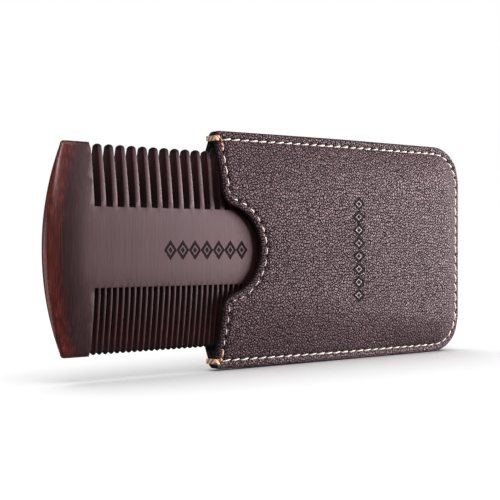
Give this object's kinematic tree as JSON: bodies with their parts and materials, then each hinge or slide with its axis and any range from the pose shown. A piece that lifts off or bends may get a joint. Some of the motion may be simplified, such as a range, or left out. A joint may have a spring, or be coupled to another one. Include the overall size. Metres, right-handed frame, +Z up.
{
  "type": "beard comb in leather sleeve",
  "caption": "Two-sided wooden beard comb with coarse and fine teeth, sliding in a flat stitched leather sleeve with a half-round thumb notch at its mouth",
  "frame": {"origin": "the middle of the whole object's footprint, on the surface that the sleeve's long bottom edge stands on, with the comb half drawn out", "axes": "+X runs along the sleeve from its mouth to its closed end, +Y runs out of the back panel, +Z is up"},
  "size_m": [0.1582, 0.0142, 0.0698],
  "materials": {
    "leather": "pebbled grain, satin, dark plum brown",
    "lining": "matte dark microsuede",
    "thread": "cream waxed polyester thread",
    "bartack_thread": "copper brown waxed thread",
    "sandalwood": "fine-grained, sanded, oiled"
  },
  "bodies": {
    "sleeve": {"front_leather": "leather", "back_leather": "leather", "front_lining": "lining", "back_lining": "lining", "seam_thread_front": "thread", "seam_thread_back": "thread", "mouth_thread_front": "thread", "mouth_thread_back": "thread", "bartack_top": "bartack_thread", "bartack_bottom": "bartack_thread"},
    "comb": {"wooden_comb": "sandalwood"}
  },
  "joints": [
    {"name": "comb_slide", "type": "slide", "parent": "sleeve", "child": "comb", "axis": [1, 0, 0], "range_m": [-0.058, 0.051]}
  ]
}
